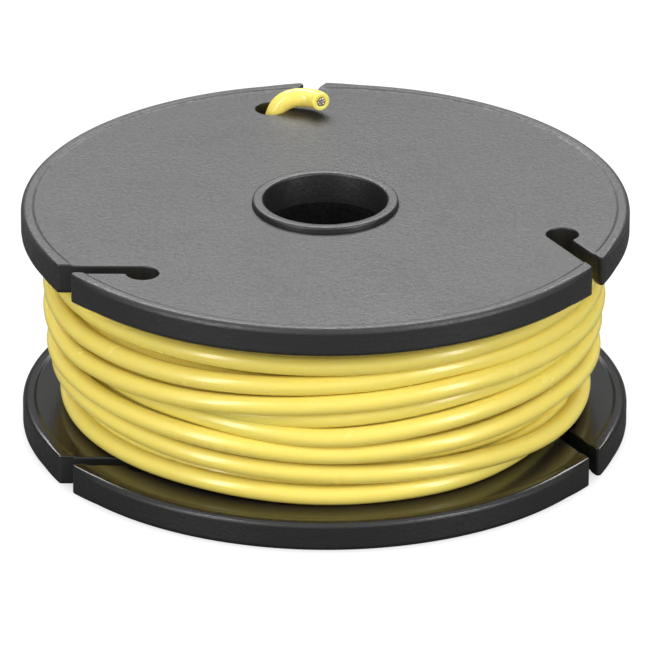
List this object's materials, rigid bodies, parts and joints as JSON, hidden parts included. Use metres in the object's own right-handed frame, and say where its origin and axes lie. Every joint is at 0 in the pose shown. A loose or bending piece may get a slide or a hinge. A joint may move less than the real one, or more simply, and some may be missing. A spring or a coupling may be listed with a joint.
{
  "type": "wire spool",
  "caption": "Small plastic spool with slotted flanges, wound with yellow insulated hook-up wire whose cut end comes up through a keyhole.",
  "frame": {"origin": "on the spool's axis, in the plane of the lower flange's rim that it stands on", "axes": "+Z along the spool's axis, up through the upper flange; -Y is the side seen in front, and the keyhole with the wire's end lies towards +Y"},
  "size_m": [0.05, 0.05, 0.0216],
  "materials": {
    "moulded_plastic": "spark-eroded matt black polystyrene",
    "insulation": "semi-gloss yellow PVC",
    "tinned_strands": "tinned copper strands, cut bare"
  },
  "bodies": {
    "root": {"upper_flange": "moulded_plastic", "lower_flange": "moulded_plastic", "hub": "moulded_plastic", "wire_inner_layers": "insulation", "wire_outer_layer": "insulation", "wire_tail": "insulation", "conductor_strands": "tinned_strands"}
  },
  "joints": []
}
